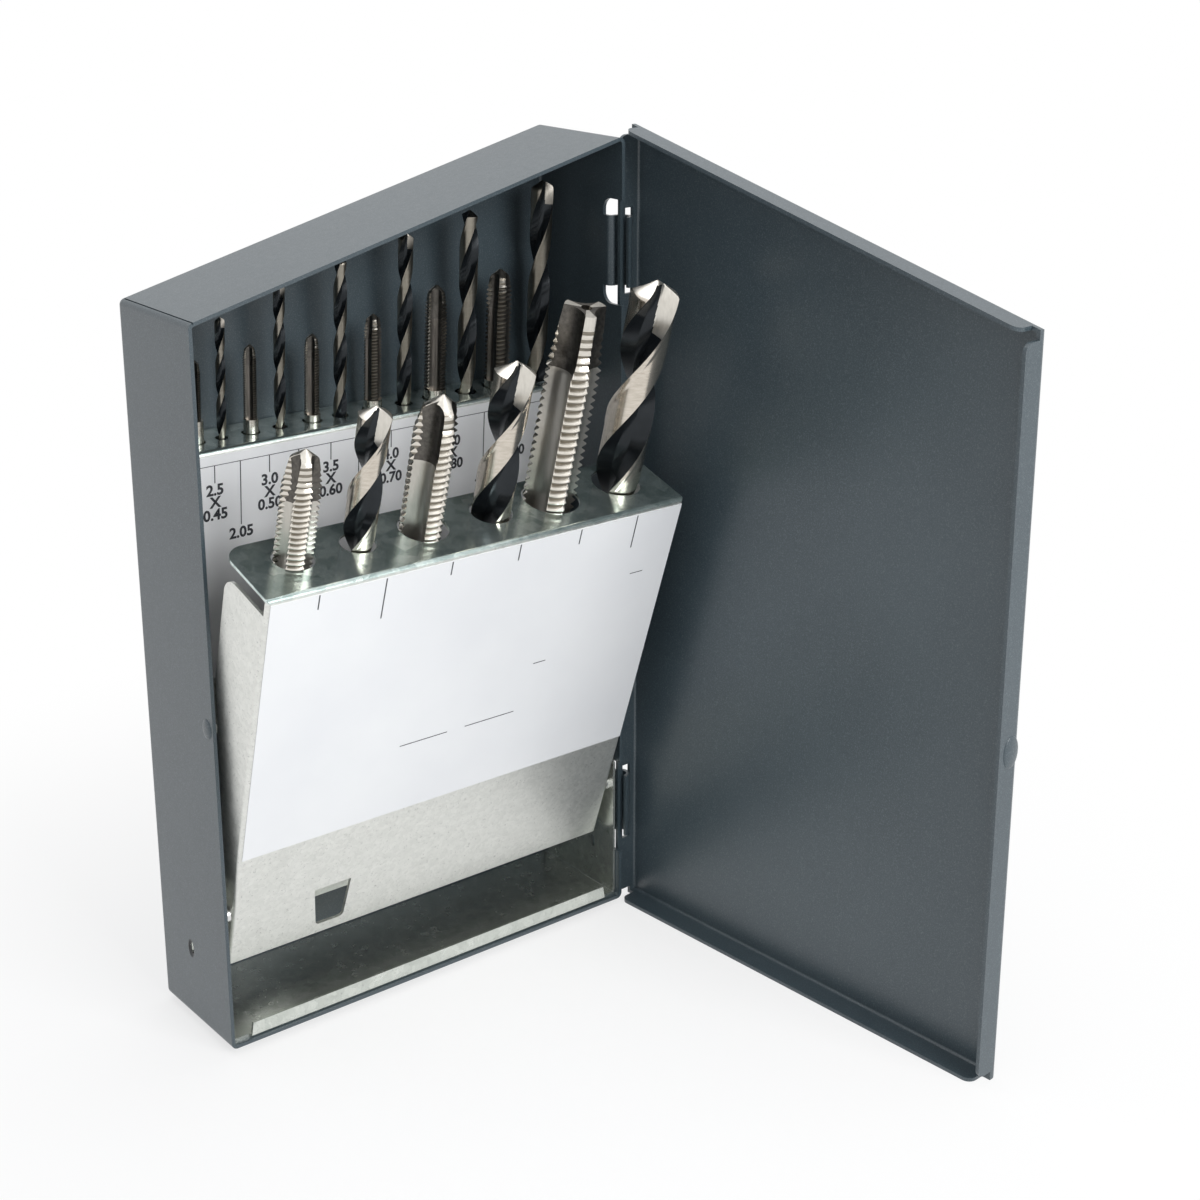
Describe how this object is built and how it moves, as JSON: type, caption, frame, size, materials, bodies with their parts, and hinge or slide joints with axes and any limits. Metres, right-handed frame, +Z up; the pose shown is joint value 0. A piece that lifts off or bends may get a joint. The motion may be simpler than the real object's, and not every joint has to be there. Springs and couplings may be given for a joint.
{
  "type": "tap and drill case",
  "caption": "Upright folded sheet-metal case with a hooked cap lid standing open, two tilting galvanised racks and a set of hand taps and twist drills.",
  "frame": {"origin": "centre of the width at the open edge of the base's flat underside", "axes": "+X to the right along the width, +Y from the open side to the back, +Z up"},
  "size_m": [0.1213, 0.1366, 0.1872],
  "materials": {
    "blue_grey_enamel": "satin enamel with a fine speckle",
    "galvanised_sheet": "zinc-coated sheet with a soft spangle",
    "label_card": "smooth white printed card",
    "ground_tool_steel": "bright ground steel",
    "black_tool_steel": "black-oxide flutes with bright ground lands",
    "pin_steel": "bright zinc"
  },
  "bodies": {
    "case": {"case_body": "blue_grey_enamel", "base_pan": "galvanised_sheet", "front_pivot_left": "pin_steel", "front_pivot_right": "pin_steel", "rear_pivot_left": "pin_steel", "rear_pivot_right": "pin_steel"},
    "lid": {"case_lid": "blue_grey_enamel"},
    "front_rack": {"front_rack": "galvanised_sheet", "front_label": "label_card", "front_tap_stop": "galvanised_sheet", "front_drill_stop": "galvanised_sheet"},
    "rear_rack": {"rear_rack": "galvanised_sheet", "rear_label": "label_card", "rear_tool_stop": "galvanised_sheet"},
    "tap_m8": {"tap_m8": "ground_tool_steel"},
    "tap_m10": {"tap_m10": "ground_tool_steel"},
    "tap_m12": {"tap_m12": "ground_tool_steel"},
    "drill_6_8": {"drill_6_8": "black_tool_steel"},
    "drill_8_5": {"drill_8_5": "black_tool_steel"},
    "drill_10_3": {"drill_10_3": "black_tool_steel"},
    "tap_m2_5": {"tap_m2_5": "ground_tool_steel"},
    "drill_2_05": {"drill_2_05": "black_tool_steel"},
    "tap_m3": {"tap_m3": "ground_tool_steel"},
    "drill_2_5": {"drill_2_5": "black_tool_steel"},
    "tap_m3_5": {"tap_m3_5": "ground_tool_steel"},
    "drill_2_9": {"drill_2_9": "black_tool_steel"},
    "tap_m4": {"tap_m4": "ground_tool_steel"},
    "drill_3_3": {"drill_3_3": "black_tool_steel"},
    "tap_m5": {"tap_m5": "ground_tool_steel"},
    "drill_4_2": {"drill_4_2": "black_tool_steel"},
    "tap_m6": {"tap_m6": "ground_tool_steel"},
    "drill_5_0": {"drill_5_0": "black_tool_steel"}
  },
  "joints": [
    {"name": "lid_hinge", "type": "hinge", "parent": "case", "child": "lid", "pos_m": [0.05425, 0.00235, 0.09], "axis": [0, 0, 1], "range_deg": [-61, 0]},
    {"name": "front_rack_swing", "type": "hinge", "parent": "case", "child": "front_rack", "pos_m": [0, 0.0041, 0.02956], "axis": [1, 0, 0], "range_deg": [-15, 0]},
    {"name": "rear_rack_swing", "type": "hinge", "parent": "case", "child": "rear_rack", "pos_m": [0, 0.02635, 0.017], "axis": [1, 0, 0], "range_deg": [0, 10]},
    {"name": "tap_m8_lift", "type": "slide", "parent": "front_rack", "child": "tap_m8", "axis": [0, -0.2773, 0.9608], "range_m": [0, 0.045]},
    {"name": "tap_m10_lift", "type": "slide", "parent": "front_rack", "child": "tap_m10", "axis": [0, -0.2773, 0.9608], "range_m": [0, 0.045]},
    {"name": "tap_m12_lift", "type": "slide", "parent": "front_rack", "child": "tap_m12", "axis": [0, -0.2773, 0.9608], "range_m": [0, 0.045]},
    {"name": "drill_6_8_lift", "type": "slide", "parent": "front_rack", "child": "drill_6_8", "axis": [0, -0.2773, 0.9608], "range_m": [0, 0.085]},
    {"name": "drill_8_5_lift", "type": "slide", "parent": "front_rack", "child": "drill_8_5", "axis": [0, -0.2773, 0.9608], "range_m": [0, 0.086]},
    {"name": "drill_10_3_lift", "type": "slide", "parent": "front_rack", "child": "drill_10_3", "axis": [0, -0.2773, 0.9608], "range_m": [0, 0.088]},
    {"name": "tap_m2_5_lift", "type": "slide", "parent": "rear_rack", "child": "tap_m2_5", "axis": [0, -0.0724, 0.9974], "range_m": [0, 0.014]},
    {"name": "drill_2_05_lift", "type": "slide", "parent": "rear_rack", "child": "drill_2_05", "axis": [0, -0.0724, 0.9974], "range_m": [0, 0.0073]},
    {"name": "tap_m3_lift", "type": "slide", "parent": "rear_rack", "child": "tap_m3", "axis": [0, -0.0724, 0.9974], "range_m": [0, 0.0159]},
    {"name": "drill_2_5_lift", "type": "slide", "parent": "rear_rack", "child": "drill_2_5", "axis": [0, -0.0724, 0.9974], "range_m": [0, 0.0056]},
    {"name": "tap_m3_5_lift", "type": "slide", "parent": "rear_rack", "child": "tap_m3_5", "axis": [0, -0.0724, 0.9974], "range_m": [0, 0.0196]},
    {"name": "drill_2_9_lift", "type": "slide", "parent": "rear_rack", "child": "drill_2_9", "axis": [0, -0.0724, 0.9974], "range_m": [0, 0.0054]},
    {"name": "tap_m4_lift", "type": "slide", "parent": "rear_rack", "child": "tap_m4", "axis": [0, -0.0724, 0.9974], "range_m": [0, 0.0214]},
    {"name": "drill_3_3_lift", "type": "slide", "parent": "rear_rack", "child": "drill_3_3", "axis": [0, -0.0724, 0.9974], "range_m": [0, 0.0066]},
    {"name": "tap_m5_lift", "type": "slide", "parent": "rear_rack", "child": "tap_m5", "axis": [0, -0.0724, 0.9974], "range_m": [0, 0.0213]},
    {"name": "drill_4_2_lift", "type": "slide", "parent": "rear_rack", "child": "drill_4_2", "axis": [0, -0.0724, 0.9974], "range_m": [0, 0.0075]},
    {"name": "tap_m6_lift", "type": "slide", "parent": "rear_rack", "child": "tap_m6", "axis": [0, -0.0724, 0.9974], "range_m": [0, 0.0244]},
    {"name": "drill_5_0_lift", "type": "slide", "parent": "rear_rack", "child": "drill_5_0", "axis": [0, -0.0724, 0.9974], "range_m": [0, 0.0079]}
  ],
  "couplings": [
    {"joint": "front_rack_swing", "follows": "lid_hinge", "ratio": 0.2459}
  ]
}
